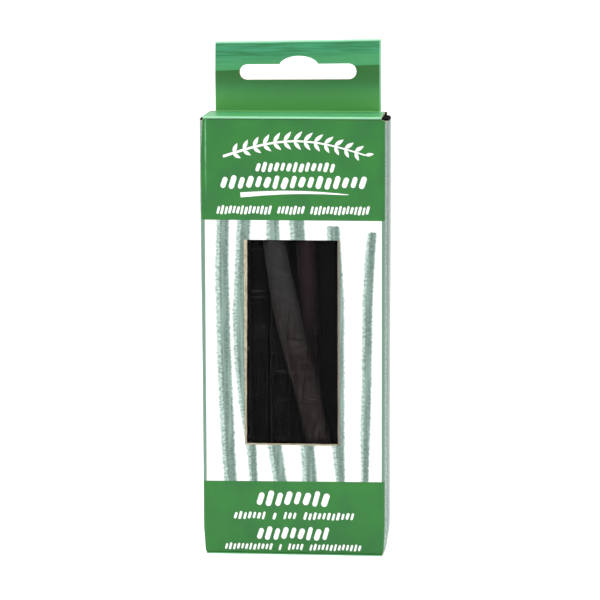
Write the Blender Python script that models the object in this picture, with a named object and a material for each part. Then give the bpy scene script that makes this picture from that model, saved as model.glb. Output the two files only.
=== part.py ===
"""Hanging paperboard carton with a windowed front, holding twelve vine charcoal sticks.

The carton is one die-cut sheet, folded and glued. Every panel between two creases is its own
object, and the flaps that open have their parent empty on the crease they turn about.
Frame: +Z up, the front faces -Y, origin under the middle of the base. Lengths are in metres.
"""
import math

import bmesh
import bpy
from mathutils import Matrix, Vector

MM = 0.001

# Driving dimensions of the carton
WIDTH = 52 * MM            # outside, left to right
DEPTH = 18 * MM            # outside, front to back
HEIGHT = 128.5 * MM        # outside, base to the top of the lid
BOARD = 0.5 * MM           # thickness of the folding boxboard
GAP = 0.3 * MM             # clearance between neighbouring solids

# Die-cut window in the front, and the clear film glued behind it
WINDOW_LEFT, WINDOW_RIGHT = -14.3 * MM, 13.5 * MM
WINDOW_BOTTOM, WINDOW_TOP = 32.7 * MM, 92.9 * MM
FILM = 0.2 * MM
FILM_BORDER = 5 * MM

# Hanging header: two glued plies with a display-hook slot
TAB_WIDTH = 48.4 * MM
TAB_HEIGHT = 20.5 * MM
TAB_CORNER = 0.4 * MM
SLOT_WIDTH = 34.6 * MM
SLOT_HEIGHT = 4.5 * MM
SLOT_RISE = 9.4 * MM       # lid to the slot's lower edge
BUMP_WIDTH = 11.4 * MM     # the arch over the middle of the slot, which centres the hook
BUMP_HEIGHT = 2.5 * MM

# Closures
TUCK_LENGTH = 8 * MM
TUCK_SIDE = 1.7 * MM       # how much narrower the tuck flap is than the carton, each side
TUCK_CORNER = 3 * MM
TUCK_GAP = 0.5 * MM        # room for the tuck flap to slip out behind the front panel
DUST_LENGTH = 14 * MM
DUST_FRONT_ROOT, DUST_FRONT_TIP = -5.5 * MM, -3.5 * MM
DUST_BACK_ROOT, DUST_BACK_TIP = 6.6 * MM, 3.1 * MM
GLUE_WIDTH = 12 * MM
GLUE_END, GLUE_TAPER = 4 * MM, 3 * MM     # the glue flap stops short of both ends and tapers there

# Charcoal
HEADSPACE = 5 * MM         # how far a stick can slide up before it meets the dust flaps
FOOT_Z = 1.9 * MM
STICK_LENGTH = HEIGHT - 2 * BOARD - 2 * GAP - HEADSPACE - FOOT_Z
STICK_SIDES = 14

FRONT, BACK = -DEPTH / 2, DEPTH / 2
HALF = WIDTH / 2
TUCK_BACK = FRONT + 2 * BOARD + TUCK_GAP
BAY_BACK = BACK - 2 * BOARD - 2 * GAP
LID_CREASE_Y = BACK - 2 * BOARD - GAP - 0.5 * GAP      # in front of the header's front ply
BASE_CREASE_Y = BACK - BOARD - 0.5 * GAP               # in front of the back panel


def clear_scene():
    for old in list(bpy.data.objects):
        bpy.data.objects.remove(old, do_unlink=True)


def finish_material(name, colour, roughness, alpha=1.0):
    material = bpy.data.materials.new(name)
    material.use_nodes = True
    shader = material.node_tree.nodes["Principled BSDF"]
    shader.inputs["Base Color"].default_value = (*colour, 1.0)
    shader.inputs["Roughness"].default_value = roughness
    shader.inputs["Metallic"].default_value = 0.0
    shader.inputs["Alpha"].default_value = alpha
    return material


def add_object(name, mesh_builder, material):
    """Make an object from a bmesh, with its faces turned outwards."""
    bmesh.ops.recalc_face_normals(mesh_builder, faces=mesh_builder.faces)
    mesh = bpy.data.meshes.new(name)
    mesh_builder.to_mesh(mesh)
    mesh_builder.free()
    piece = bpy.data.objects.new(name, mesh)
    piece.data.materials.append(material)
    bpy.context.scene.collection.objects.link(piece)
    return piece


def crease(name, y=0.0, z=0.0, x=0.0):
    """An empty on a fold line. The pieces that turn about it are its children."""
    empty = bpy.data.objects.new(name, None)
    empty.location = (x, y, z)
    bpy.context.scene.collection.objects.link(empty)
    return empty


def hang_on(piece, empty):
    """Parent a piece to a crease without moving it."""
    piece.parent = empty
    offset = Matrix.Translation(-Vector(empty.location))
    piece.matrix_parent_inverse = offset if empty.parent is None else (
        offset @ Matrix.Translation(-Vector(empty.parent.location)))


def plate(name, outline, thickness, material):
    """Extrude an outline of 3-D points by the vector `thickness`."""
    shape = bmesh.new()
    corners = [shape.verts.new(point) for point in outline]
    face = shape.faces.new(corners)
    pushed = bmesh.ops.extrude_face_region(shape, geom=[face])
    moved = [item for item in pushed["geom"] if isinstance(item, bmesh.types.BMVert)]
    bmesh.ops.translate(shape, verts=moved, vec=thickness)
    return add_object(name, shape, material)


def upright_plate(name, outline_xz, y_front, thickness, material):
    points = [(x, y_front, z) for x, z in outline_xz]
    return plate(name, points, (0, thickness, 0), material)


def flat_plate(name, outline_xy, z_bottom, thickness, material):
    points = [(x, y, z_bottom) for x, y in outline_xy]
    return plate(name, points, (0, 0, thickness), material)


def side_plate(name, outline_yz, x_left, thickness, material):
    points = [(x_left, y, z) for y, z in outline_yz]
    return plate(name, points, (thickness, 0, 0), material)


def rectangle(u0, u1, v0, v1):
    return [(u0, v0), (u1, v0), (u1, v1), (u0, v1)]


def arc(centre_u, centre_v, radius_u, radius_v, start, end, steps):
    """Points on an arc, angles in degrees, both ends included."""
    points = []
    for step in range(steps + 1):
        angle = math.radians(start + (end - start) * step / steps)
        points.append((centre_u + radius_u * math.cos(angle), centre_v + radius_v * math.sin(angle)))
    return points


def cut(piece, cutter):
    cutter.hide_render = True
    cutter.display_type = "WIRE"
    boolean = piece.modifiers.new("die_cut", "BOOLEAN")
    boolean.operation = "DIFFERENCE"
    boolean.object = cutter


def build_sleeve(board, film):
    side_low, side_high = BOARD + GAP, HEIGHT - BOARD - GAP
    front = upright_plate("front_panel", rectangle(-HALF, HALF, side_low, side_high), FRONT, BOARD, board)
    window = rectangle(WINDOW_LEFT, WINDOW_RIGHT, WINDOW_BOTTOM, WINDOW_TOP)
    cut(front, upright_plate("window_die", window, FRONT - BOARD, 3 * BOARD, board))
    upright_plate("back_panel", rectangle(-HALF, HALF, 0, HEIGHT), BACK - BOARD, BOARD, board)

    side = rectangle(FRONT + BOARD + GAP, BACK - BOARD - GAP, side_low, side_high)
    side_plate("left_side_panel", side, -HALF, BOARD, board)
    side_plate("right_side_panel", side, HALF - BOARD, BOARD, board)

    glue_left = -HALF + BOARD + GAP
    glue_low, glue_high = GLUE_END, HEIGHT - GLUE_END
    glue = [(glue_left, glue_low), (glue_left + GLUE_WIDTH, glue_low + GLUE_TAPER),
            (glue_left + GLUE_WIDTH, glue_high - GLUE_TAPER), (glue_left, glue_high)]
    upright_plate("glue_flap", glue, BACK - 2 * BOARD - GAP, BOARD, board)

    film_sheet = rectangle(WINDOW_LEFT - FILM_BORDER, WINDOW_RIGHT + FILM_BORDER,
                           WINDOW_BOTTOM - FILM_BORDER, WINDOW_TOP + FILM_BORDER)
    upright_plate("window_film", film_sheet, FRONT + BOARD + GAP, FILM, film)


def slot_outline(bottom_z):
    """Hook slot with round ends and an arch over its middle, in x and z."""
    radius = SLOT_HEIGHT / 2
    end_x = SLOT_WIDTH / 2 - radius
    middle_z, top_z = bottom_z + radius, bottom_z + SLOT_HEIGHT
    right_end = arc(end_x, middle_z, radius, radius, -90, 90, 8)
    arch = arc(0, top_z, BUMP_WIDTH / 2, BUMP_HEIGHT, 0, 180, 12)
    left_end = arc(-end_x, middle_z, radius, radius, 90, 270, 8)
    return right_end + arch + left_end


def build_header(board):
    fold = crease("header_crease", y=BACK, z=HEIGHT)
    low, high = HEIGHT + GAP, HEIGHT + TAB_HEIGHT
    half, corner = TAB_WIDTH / 2, TAB_CORNER
    outline = ([(-half, low), (half, low)]
               + arc(half - corner, high - corner, corner, corner, 0, 90, 4)
               + arc(corner - half, high - corner, corner, corner, 90, 180, 4))
    plies = (("hang_tab_rear_ply", BACK - BOARD), ("hang_tab_front_ply", BACK - 2 * BOARD - GAP))
    die = upright_plate("slot_die", slot_outline(HEIGHT + SLOT_RISE), BACK - 4 * BOARD, 5 * BOARD, board)
    for name, y_front in plies:
        ply = upright_plate(name, outline, y_front, BOARD, board)
        cut(ply, die)
        hang_on(ply, fold)


def dust_flap_outline(side):
    """Tapered flap in x and y, hinged at the side panel. side is -1 for left and 1 for right."""
    root, tip = HALF - BOARD - GAP, HALF - BOARD - GAP - DUST_LENGTH
    return [(side * root, DUST_FRONT_ROOT), (side * tip, DUST_FRONT_TIP),
            (side * tip, DUST_BACK_TIP), (side * root, DUST_BACK_ROOT)]


def tuck_outline(crease_z, tip_z):
    """Tuck flap in x and z, with its two free corners rounded."""
    half, corner = HALF - TUCK_SIDE, TUCK_CORNER
    down = math.copysign(1, tip_z - crease_z)
    corner_z = tip_z - down * corner
    return ([(-half, crease_z), (half, crease_z)]
            + arc(half - corner, corner_z, corner, down * corner, 0, 90, 6)
            + arc(corner - half, corner_z, corner, down * corner, 90, 180, 6))


def build_closure(board, place, outer_z, inward, panel_name, crease_y):
    """One end of the carton: cover panel, tuck flap and two dust flaps.

    outer_z is the cover's outer face, and inward is the z direction into the carton."""
    inner_z = outer_z + inward * BOARD
    cover_crease = crease(panel_name + "_crease", y=crease_y, z=outer_z)
    cover = flat_plate(panel_name, rectangle(-HALF, HALF, FRONT, crease_y - 0.5 * GAP),
                       min(outer_z, inner_z), BOARD, board)
    hang_on(cover, cover_crease)

    tuck_z = inner_z + inward * GAP
    tuck_crease = crease(place + "_tuck_crease", y=TUCK_BACK, z=inner_z + inward * 0.5 * GAP)
    tuck = upright_plate("lid_tuck_flap" if place == "top" else "bottom_tuck_flap",
                         tuck_outline(tuck_z, tuck_z + inward * TUCK_LENGTH),
                         TUCK_BACK - BOARD, BOARD, board)
    hang_on(tuck, tuck_crease)

    for side, side_name in ((-1, "left"), (1, "right")):
        flap_crease = crease(place + "_dust_crease_" + side_name,
                             x=side * (HALF - BOARD - 0.5 * GAP), z=tuck_z)
        flap = flat_plate(place + "_dust_flap_" + side_name, dust_flap_outline(side),
                          min(tuck_z, tuck_z + inward * BOARD), BOARD, board)
        hang_on(flap, flap_crease)


def charcoal_stick(number, foot_x, y, foot_z, length, foot_radius, head_radius, lean, material):
    """A tapered twig of charcoal. lean is in degrees, positive to the left going up."""
    shape = bmesh.new()
    bmesh.ops.create_cone(shape, cap_ends=True, segments=STICK_SIDES, radius1=foot_radius,
                          radius2=head_radius, depth=length)
    stick = add_object("stick_%02d" % number, shape, material)
    for face in stick.data.polygons:
        face.use_smooth = len(face.vertices) == 4
    tilt = math.radians(lean)
    stick.rotation_euler = (0, -tilt, 0)
    lift = foot_radius * math.sin(abs(tilt))
    stick.location = (foot_x - 0.5 * length * math.sin(tilt), y,
                      foot_z + lift + 0.5 * length * math.cos(tilt))


def build_charcoal(charcoal):
    """Two layers of sticks. Each row of the lists is (foot x, foot radius, head radius, lean), in mm
    and degrees. The leaning stick in the front layer is the one that crosses the window."""
    front_row = [(13.4, 4.0, 2.75, 12.3), (-21.9, 3.1, 2.9, 0), (22.0, 3.1, 2.9, 0)]
    back_row = [(-22.6, 2.5, 2.4, 0), (-17.1, 2.7, 2.5, 0), (-11.5, 2.6, 2.5, 0), (-5.3, 2.9, 2.8, 0),
                (4.9, 3.05, 3.0, 1.4), (17.4, 2.85, 2.6, 0), (22.8, 2.3, 2.2, 0)]
    short_row = [(-15.6, 2.9, 2.7, 0), (15.8, 2.7, 2.5, 0)]
    short_lengths = (100 * MM, 96 * MM)
    short_feet = (FOOT_Z, 25 * MM)      # the second rests in the fork beside the leaning stick
    number = 1
    for foot_x, foot_r, head_r, lean in front_row:
        y = TUCK_BACK + GAP + foot_r * MM
        length = STICK_LENGTH if lean == 0 else STICK_LENGTH + 1 * MM
        charcoal_stick(number, foot_x * MM, y, FOOT_Z, length, foot_r * MM, head_r * MM, lean, charcoal)
        number += 1
    for foot_x, foot_r, head_r, lean in back_row:
        y = BAY_BACK - GAP - foot_r * MM
        charcoal_stick(number, foot_x * MM, y, FOOT_Z, STICK_LENGTH, foot_r * MM, head_r * MM, lean, charcoal)
        number += 1
    for row, length, foot_z in zip(short_row, short_lengths, short_feet):
        foot_x, foot_r, head_r, lean = row
        y = TUCK_BACK + GAP + foot_r * MM
        charcoal_stick(number, foot_x * MM, y, foot_z, length, foot_r * MM, head_r * MM, lean, charcoal)
        number += 1


def main():
    clear_scene()
    board = finish_material("coated_boxboard", (0.06, 0.22, 0.06), 0.45)
    film = finish_material("clear_film", (0.9, 0.9, 0.9), 0.08, alpha=0.2)
    charcoal = finish_material("vine_charcoal", (0.02, 0.019, 0.018), 0.8)
    build_sleeve(board, film)
    build_header(board)
    build_closure(board, "top", HEIGHT, -1, "lid_panel", LID_CREASE_Y)
    build_closure(board, "bottom", 0, 1, "bottom_panel", BASE_CREASE_Y)
    build_charcoal(charcoal)


main()
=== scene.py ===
# %% [markdown]
# # A carton of vine charcoal
# The object is a tall paperboard carton with a hanging header and a window, full of vine charcoal.
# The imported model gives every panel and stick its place. This lesson builds what shows: one folded
# and printed skin round the carton, a header of two glued plies, covers with rounded folds, and
# sticks that look like burnt twigs. Lengths are in metres, and `mm` keeps the numbers readable.

# %% Load the model
import math

import bmesh
import bpy
from mathutils import Matrix, Vector, noise


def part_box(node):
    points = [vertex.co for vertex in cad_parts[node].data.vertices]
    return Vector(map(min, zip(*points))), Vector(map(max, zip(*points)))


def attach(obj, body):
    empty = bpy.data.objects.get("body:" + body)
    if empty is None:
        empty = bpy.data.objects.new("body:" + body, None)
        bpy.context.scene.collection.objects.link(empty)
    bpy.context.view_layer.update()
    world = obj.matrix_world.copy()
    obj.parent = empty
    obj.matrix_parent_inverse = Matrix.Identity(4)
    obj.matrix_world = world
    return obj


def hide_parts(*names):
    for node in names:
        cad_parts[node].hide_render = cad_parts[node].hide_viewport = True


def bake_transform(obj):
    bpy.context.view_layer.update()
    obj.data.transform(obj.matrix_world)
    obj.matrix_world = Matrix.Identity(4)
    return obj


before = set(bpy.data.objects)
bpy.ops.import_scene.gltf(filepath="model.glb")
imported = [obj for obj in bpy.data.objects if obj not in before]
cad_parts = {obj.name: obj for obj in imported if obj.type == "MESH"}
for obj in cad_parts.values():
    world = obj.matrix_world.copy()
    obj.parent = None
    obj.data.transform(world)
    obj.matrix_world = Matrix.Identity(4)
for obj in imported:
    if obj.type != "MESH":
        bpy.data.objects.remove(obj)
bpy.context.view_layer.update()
mm = 0.001

# %% [markdown]
# ## Sizes
# Every place below comes from the model's own panels, so nothing can drift away from them. The board
# is as thick as the front panel, and the window is the hole between the front panel's inner points.

# %% Read the carton's sizes
front_low, front_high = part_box("front_panel")
base_low, base_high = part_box("bottom_panel")
tuck_low, tuck_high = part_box("lid_tuck_flap")
ply_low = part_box("hang_tab_front_ply")[0]
back_high, lid_high, base_tuck_high, header_high = (
    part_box(node)[1] for node in ("back_panel", "lid_panel", "bottom_tuck_flap", "hang_tab_rear_ply"))

front_y, back_y = front_low.y, back_high.y
half_width = front_high.x
board = front_high.y - front_low.y
top = lid_high.z
tab_height = header_high.z - top


def hole_points(node):
    """The points of a cut-out: those well inside the node's own outline."""
    low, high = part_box(node)
    margin = 0.6 * mm
    return [v.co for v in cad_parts[node].data.vertices
            if low.x + margin < v.co.x < high.x - margin and low.z + margin < v.co.z < high.z - margin]


window_points = hole_points("front_panel")
window_left, window_right = min(p.x for p in window_points), max(p.x for p in window_points)
window_bottom, window_top = min(p.z for p in window_points), max(p.z for p in window_points)
print("window in mm:", [round(v / mm, 1) for v in (window_left, window_right, window_bottom, window_top)])

# %% [markdown]
# ## Small tools
# These steps come back all through the lesson: ending a bmesh as a mesh, putting something into the
# scene, picking the corners out of what an extrusion gives back, and spacing points on a line or arc.

# %% Tools for meshes and objects
def mesh_from(shape, name):
    mesh = bpy.data.meshes.new(name)
    shape.to_mesh(mesh)
    shape.free()
    return mesh


def put_in_scene(name, data):
    made = bpy.data.objects.new(name, data)
    bpy.context.scene.collection.objects.link(made)
    return made


def corners_in(pushed):
    return [item for item in pushed if isinstance(item, bmesh.types.BMVert)]


def rows_between(low, high, count):
    return [low + (high - low) * i / count for i in range(count + 1)]


def arc_points(centre_a, centre_b, radius, start, end, steps):
    """Points on an arc in a plane, with angles in degrees."""
    angles = [math.radians(angle) for angle in rows_between(start, end, steps)]
    return [(centre_a + radius * math.cos(a), centre_b + radius * math.sin(a)) for a in angles]


# %% [markdown]
# ## The camera
# The pack is seen from a little above and from its right, through a long lens, so its sides stay
# almost parallel. A few degrees of each are enough to show the lid and one side panel.

# %% Place the camera
azimuth, elevation, roll = math.radians(5.27), math.radians(8.58), math.radians(-0.18)
view_distance = 0.95
view_target = Vector((1.1 * mm, 0, 74.1 * mm))

backwards = Vector((math.sin(azimuth) * math.cos(elevation), -math.cos(azimuth) * math.cos(elevation),
                    math.sin(elevation)))
camera_data = bpy.data.cameras.new("pack_camera")
camera_data.sensor_width = 36
camera_data.lens = 195.4
camera = put_in_scene("pack_camera", camera_data)
turn = (-backwards).to_track_quat("-Z", "Y").to_matrix().to_4x4() @ Matrix.Rotation(roll, 4, "Z")
camera.matrix_world = Matrix.Translation(view_target + backwards * view_distance) @ turn
bpy.context.scene.camera = camera
print("camera at", [round(v, 3) for v in camera.location])

# %% [markdown]
# ## Light and floor
# Packs are shown on white with large soft lights. A pale floor that curves up behind the pack
# hides the horizon. One big light stands in front on the left, a weaker one on the right opens the
# shadows, and one above draws the bright line on the lid's front fold.

# %% Colour helper
def linear(hex_colour, alpha=1.0):
    """A screen colour such as "468445" as the linear values that a shader works in."""
    channels = [int(hex_colour[i:i + 2], 16) / 255 for i in (0, 2, 4)]
    return (*[c / 12.92 if c <= 0.04045 else ((c + 0.055) / 1.055) ** 2.4 for c in channels], alpha)


# %% Node helper
def add_node(tree, kind, inputs=None, **settings):
    """Add a node, set its own settings, and fill its inputs with values or with other nodes' outputs."""
    node = tree.nodes.new(kind)
    for name, value in settings.items():
        setattr(node, name, value)
    for socket, value in (inputs or {}).items():
        if isinstance(value, bpy.types.NodeSocket):
            tree.links.new(value, node.inputs[socket])
        else:
            node.inputs[socket].default_value = value
    return node


def new_material(name):
    """An empty node material and its tree, ready for steps."""
    material = bpy.data.materials.new(name)
    material.use_nodes = True
    material.node_tree.nodes.clear()
    return material, material.node_tree


def give_surface(tree, inputs):
    """End a material with one Principled shader, whose constants sit on its own sockets."""
    shader = add_node(tree, "ShaderNodeBsdfPrincipled", inputs)
    add_node(tree, "ShaderNodeOutputMaterial", {"Surface": shader.outputs["BSDF"]})


# %% Floor and lights
def studio_sweep():
    """A floor that turns up into a backdrop with one wide curve."""
    floor_half, floor_front, curve_start, curve_radius, wall_height = 3.0, -3.0, 0.8, 0.8, 3.0
    curve = arc_points(curve_start, curve_radius, curve_radius, -90, 0, 12)
    profile = [(floor_front, 0), *curve, (curve[-1][0], curve[-1][1] + wall_height)]
    sweep = bmesh.new()
    corners = [sweep.verts.new((-floor_half, y, z)) for y, z in profile]
    edges = [sweep.edges.new(pair) for pair in zip(corners, corners[1:])]
    pushed = bmesh.ops.extrude_edge_only(sweep, edges=edges)["geom"]
    bmesh.ops.translate(sweep, vec=(2 * floor_half, 0, 0), verts=corners_in(pushed))
    mesh = mesh_from(sweep, "studio_sweep")
    mesh.shade_smooth()
    material, tree = new_material("matt_white_paper_roll")
    give_surface(tree, {"Base Color": linear("fafafa"), "Roughness": 0.9,
                        "Emission Color": linear("ffffff"), "Emission Strength": 0.6})
    mesh.materials.append(material)
    put_in_scene("studio_sweep", mesh)


def softbox(name, place, size, power):
    """A square area light that looks at the middle of the pack."""
    data = bpy.data.lights.new(name, "AREA")
    data.shape, data.size, data.energy = "SQUARE", size, power
    light = put_in_scene(name, data)
    light.location = place
    pack_middle = Vector((0, 0, 70 * mm))
    light.rotation_euler = (pack_middle - Vector(place)).to_track_quat("-Z", "Y").to_euler()


studio_sweep()
softbox("key_softbox", (-0.35, -0.95, 0.75), size=0.7, power=5.0)
softbox("fill_softbox", (0.9, -0.8, 0.35), size=0.8, power=1.6)
softbox("top_softbox", (0.0, 0.05, 0.9), size=0.6, power=8.0)

world = bpy.data.worlds.new("white_room")
world.use_nodes = True
world.node_tree.nodes["Background"].inputs["Color"].default_value = (1, 1, 1, 1)
world.node_tree.nodes["Background"].inputs["Strength"].default_value = 0.15
bpy.context.scene.world = world
bpy.context.scene.view_settings.view_transform = "Standard"
print("three soft lights and a white room")

# %% [markdown]
# ## Printed boxboard
# The board is clay-coated on the outside and printed by offset in green and in a grey-green that
# imitates charcoal strokes on rough paper, then given a water-based varnish: satin, not mirror
# bright. The print could be a picture, but here it is worked out from the place on the carton, so it
# stays sharp at any size. `Object` coordinates are used because each piece's origin is the carton's.

# %% Print colours and places
green_ink = linear("327a35")
deep_green_ink = linear("2e7037")
stroke_ink = linear("61776f")
worn_stroke_ink = linear("879f95")
dry_stroke_ink = linear("bccfc7")
side_rub = linear("466152")
side_wash = linear("b4c7bd")                # the sides carry a wide pale rub under their strokes
coated_white = linear("fbfbfa")
# painted highlight on the front's left crease
crease_highlight = linear("8fd0a2")
# painted highlight on the sharpest folds, partly ink rubbed off them
fold_highlight_and_rub = linear("a4e2bb")               # ink rubbed off the sharpest folds
# painted reflection on the header above its bend
header_reflection_green, header_reflection_pale_green = linear("31784a"), linear("439b70")
# painted top light on the lid
lid_top_light_green = linear("4d9f66")
# painted shade under the header's bend
under_bend_shade_olive = linear("2f6829")
foot_green = linear("64b05d")               # light thrown up from the lid
fold_ink = linear("4c7a64")

# Places for the shaders, in mm: how far out the front and the sides are, and the lid's height.
front_at, side_at, lid_at = -front_y / mm, half_width / mm, top / mm
bend_middle, bend_slope = lid_at + 12.8, 0.041  # the header's bend: height, and climb to the right
askew_rise, askew_slope = 0.25, 0.019           # how far its top edge stands up, and climb to the right
top_band_edge = 98.6            # green above this height
bottom_band_edge = 22.0         # green below this one
band_slope = 0.0065             # the sheet was printed a little out of square
# Each dry stroke is a list of stations going down: (height, middle, width), all in mm.
front_strokes = [
    [(140, -20.4, 3.8), (97.6, -20.4, 3.9), (85, -20.7, 4.2), (60, -20.3, 4.4), (44, -19.7, 4.4),
     (30.5, -19.1, 4.2), (21.8, -18.5, 4.0)],
    [(140, -13.8, 4.3), (97.6, -14.3, 4.3), (70, -15.8, 4.2), (57, -15.6, 3.6), (44, -14.4, 3.2),
     (31, -12.3, 3.1), (21.8, -11.8, 2.6)],
    [(140, -5.9, 4.1), (97.6, -5.9, 4.1), (32, -5.5, 4.4), (21.8, -4.0, 4.2)],
    [(140, 0.9, 4.6), (97.6, 1.1, 4.7), (32, 4.0, 4.4), (21.8, 4.7, 4.7)],
    [(97.0, 11.6, 4.0), (75, 12.4, 5.0), (32, 13.0, 3.9), (21.8, 13.6, 2.9)],
    [(95.4, 22.9, 2.8), (89, 22.2, 3.2), (75, 21.5, 3.2), (51, 21.2, 3.2), (35, 20.8, 3.0),
     (21.8, 20.7, 2.4)]]
side_strokes = [
    [(140, -5.6, 7.4), (60, -5.4, 7.0), (0, -5.2, 6.4)],
    [(140, 3.4, 7.0), (60, 3.6, 6.2), (0, 4.2, 6.8)]]
print("strokes on the front and on each side:", len(front_strokes), len(side_strokes))


# %% Small shader steps
def place_in_mm(tree):
    """The place on the carton in mm, and its three axes."""
    place = add_node(tree, "ShaderNodeTexCoord").outputs["Object"]
    place = add_node(tree, "ShaderNodeVectorMath", {0: place, "Scale": 1 / mm}, operation="SCALE").outputs[0]
    return place, *add_node(tree, "ShaderNodeSeparateXYZ", {0: place}).outputs


def math_step(tree, operation, first, second=0.0, third=0.0):
    return add_node(tree, "ShaderNodeMath", {0: first, 1: second, 2: third}, operation=operation).outputs[0]


def product(tree, first, *others):
    for other in others:
        first = math_step(tree, "MULTIPLY", first, other)
    return first


def opposite(tree, mask):
    return math_step(tree, "SUBTRACT", 1.0, mask)


def ramp_step(tree, value, low, high):
    """0 below `low`, 1 above `high`, and a soft step between them. `low` may be the larger one."""
    return add_node(tree, "ShaderNodeMapRange", {"Value": value, "From Min": low, "From Max": high},
                    interpolation_type="SMOOTHSTEP").outputs["Result"]


def spread_step(tree, value, low, high):
    """A noise between 0 and 1, spread from `low` to `high`."""
    return add_node(tree, "ShaderNodeMapRange",
                    {"Value": value, "To Min": low, "To Max": high}).outputs["Result"]


def mix_colour(tree, factor, first, second):
    node = add_node(tree, "ShaderNodeMix", {"Factor": factor}, data_type="RGBA")
    for socket, value in ((node.inputs[6], first), (node.inputs[7], second)):
        if isinstance(value, bpy.types.NodeSocket):
            tree.links.new(value, socket)
        else:
            socket.default_value = value
    return node.outputs[2]


def noise_step(tree, vector, stretch, detail=2.0):
    """Noise of scale 1 on a vector that is first stretched, so `stretch` is in cycles for each mm."""
    scaled = add_node(tree, "ShaderNodeVectorMath", {0: vector, 1: stretch}, operation="MULTIPLY").outputs[0]
    return add_node(tree, "ShaderNodeTexNoise",
                    {"Vector": scaled, "Scale": 1.0, "Detail": detail}).outputs["Fac"]


def bump_step(tree, relief, strength, distance):
    return add_node(tree, "ShaderNodeBump",
                    {"Height": relief, "Strength": strength, "Distance": distance}).outputs["Normal"]


# %% [markdown]
# ### How a dry stroke is drawn
# A stick dragged down ribbed paper leaves a dense core, and at both sides short level dashes where
# it only touched the ribs. A stroke is the distance from a drifting middle line, compared with half
# its width. The comparison is made twice: once for the core, and once further out, where a noise
# stretched sideways breaks the edge into dashes about half a millimetre apart.

# %% One stroke's masks
def along_stations(tree, height, stations, item):
    """A value that runs straight from station to station as the height falls."""
    total = stations[0][item]
    for upper, lower in zip(stations, stations[1:]):
        part = add_node(tree, "ShaderNodeMapRange", {
            "Value": height, "From Min": upper[0], "From Max": lower[0],
            "To Min": 0.0, "To Max": lower[item] - upper[item]})
        total = math_step(tree, "ADD", total, part.outputs[0])
    return total


def stroke_masks(tree, across, height, dashes, rough, stations):
    middle = along_stations(tree, height, stations, 1)
    half = product(tree, along_stations(tree, height, stations, 2), 0.5)
    below_start = math_step(tree, "ADD", math_step(tree, "SUBTRACT", stations[0][0], height), rough)
    started = ramp_step(tree, below_start, -0.1, 0.2)
    from_middle = math_step(tree, "SUBTRACT", across, middle)
    inside = math_step(tree, "SUBTRACT", half, math_step(tree, "ABSOLUTE", from_middle))
    # the core lies a little to the right, because the stick was held at an angle
    from_core = math_step(tree, "ABSOLUTE", math_step(tree, "MULTIPLY_ADD", half, -0.2, from_middle))
    core_inside = math_step(tree, "SUBTRACT", product(tree, half, 0.64), from_core)
    core = ramp_step(tree, math_step(tree, "ADD", rough, core_inside), -0.25, 0.4)
    edge = ramp_step(tree, math_step(tree, "MULTIPLY_ADD", dashes, 1.1, inside), -0.25, 0.5)
    return product(tree, core, started), product(tree, edge, started)


def all_strokes(tree, across, height, dashes, rough, strokes):
    """The core and the dashed edge of the strongest stroke at each place."""
    core, edge = 0.0, 0.0
    for stations in strokes:
        one_core, one_edge = stroke_masks(tree, across, height, dashes, rough, stations)
        core, edge = math_step(tree, "MAXIMUM", core, one_core), math_step(tree, "MAXIMUM", edge, one_edge)
    return core, edge


# %% Strokes between two green bands
def sleeve_print(tree, place, x, y, z, above_sleeve):
    """The strokes on the front and on the sides, with solid green above and below them."""
    dashes = math_step(tree, "SUBTRACT", noise_step(tree, place, (0.5, 0.5, 1.8)), 0.5)
    rough = math_step(tree, "SUBTRACT", noise_step(tree, place, (0.9, 0.9, 1.2)), 0.5)
    ribs = noise_step(tree, place, (0.9, 0.9, 1.9))
    pressure = noise_step(tree, place, (1.1, 1.1, 0.05))
    core_ink = mix_colour(tree, ramp_step(tree, ribs, 0.35, 0.85), stroke_ink, worn_stroke_ink)
    core_ink = mix_colour(tree, ramp_step(tree, pressure, 0.42, 0.68), core_ink, worn_stroke_ink)
    edge_ink = mix_colour(tree, ramp_step(tree, ribs, 0.35, 0.6), worn_stroke_ink, dry_stroke_ink)

    def stroke_print(across, strokes, ground):
        core, edge = all_strokes(tree, across, z, dashes, rough, strokes)
        return mix_colour(tree, core, mix_colour(tree, edge, ground, edge_ink), core_ink)

    front_print = stroke_print(x, front_strokes, coated_white)
    side_print = mix_colour(tree, 0.4, stroke_print(y, side_strokes, side_wash), side_rub)

    # the sides begin where the front's fold has turned away
    across, depth = math_step(tree, "ABSOLUTE", x), math_step(tree, "ABSOLUTE", y)
    off_faces = ramp_step(tree, depth, front_at - 0.75, front_at - 0.95)
    on_side = product(tree, off_faces, ramp_step(tree, across, side_at - 0.6, side_at - 0.4))
    # a grey-green line wraps half a millimetre round each fold, all the way down
    on_fold = product(tree, opposite(tree, off_faces), ramp_step(tree, across, side_at - 0.5, side_at - 0.35))
    front_print = mix_colour(tree, product(tree, on_fold, 0.9), front_print, fold_ink)

    above = ramp_step(tree, z, top_band_edge - 0.06, top_band_edge + 0.06)
    squared = math_step(tree, "MULTIPLY_ADD", x, -band_slope, z)
    below = ramp_step(tree, squared, bottom_band_edge + 0.06, bottom_band_edge - 0.06)
    mottle = noise_step(tree, place, (0.12, 0.12, 0.12), 4.0)
    green = mix_colour(tree, ramp_step(tree, mottle, 0.3, 0.7), green_ink, deep_green_ink)
    colour = mix_colour(tree, math_step(tree, "MAXIMUM", above, below), front_print, green)
    return mix_colour(tree, product(tree, on_side, opposite(tree, above_sleeve)), colour, side_print)


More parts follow.
